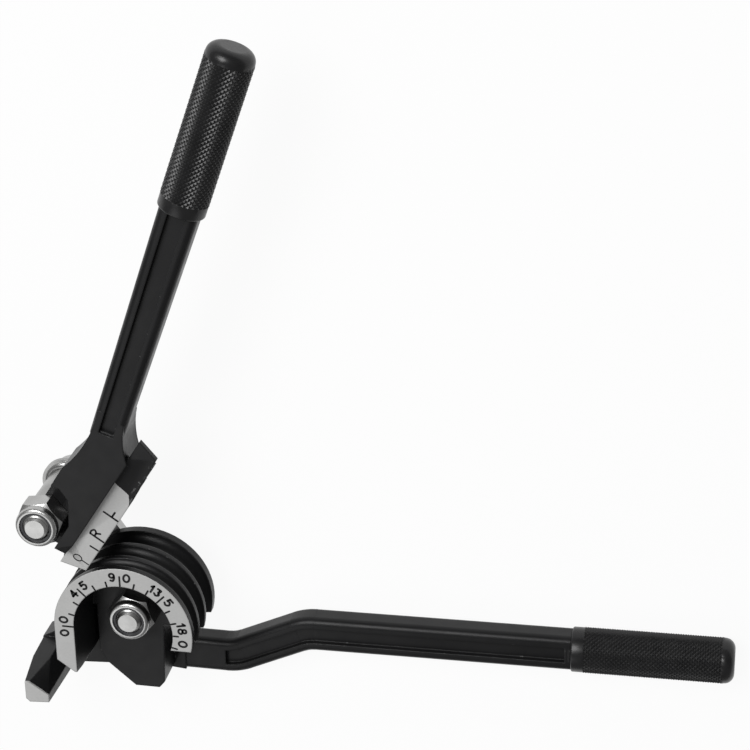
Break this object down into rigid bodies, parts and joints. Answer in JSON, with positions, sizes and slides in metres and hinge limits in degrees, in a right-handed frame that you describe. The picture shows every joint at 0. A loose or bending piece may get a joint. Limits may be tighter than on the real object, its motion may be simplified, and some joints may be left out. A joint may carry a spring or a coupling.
{
  "type": "tube bender",
  "caption": "Hand tube bender with a grooved half-round die, a scale ring and fixed hook on one handle, and a grooved forming shoe on a second handle joined by a swinging link.",
  "frame": {"origin": "centre of the die bolt head's outer face, on the die axis, on the floor", "axes": "+Z along the die axis toward the scale face, +X toward the 180 mark and along the main handle, +Y toward the 90 mark"},
  "size_m": [0.2947, 0.2881, 0.0586],
  "materials": {
    "black_paint": "semi-gloss black paint with ground bare scale faces",
    "zinc": "bright zinc plate",
    "grip": "black plastic with a diamond knurl",
    "nylon": "dark nylon insert"
  },
  "bodies": {
    "main": {"main_casting": "black_paint", "main_grip": "grip", "die_bolt": "zinc", "die_washer": "zinc", "die_nut": "zinc", "die_nut_ring": "nylon"},
    "link": {"link": "zinc", "pivot_bush": "zinc", "pivot_bolt": "zinc", "pivot_washer": "zinc", "pivot_nut": "zinc", "pivot_nut_ring": "nylon"},
    "forming": {"forming_casting": "black_paint", "forming_grip": "grip"}
  },
  "joints": [
    {"name": "link_swing", "type": "hinge", "parent": "main", "child": "link", "pos_m": [0, 0, 0.013], "axis": [0, 0, 1], "range_deg": [-127.2, 52.8]},
    {"name": "forming_pivot", "type": "hinge", "parent": "link", "child": "forming", "pos_m": [-0.03161, 0.04794, 0.0376], "axis": [0, 0, 1], "range_deg": [-36, 80]}
  ]
}
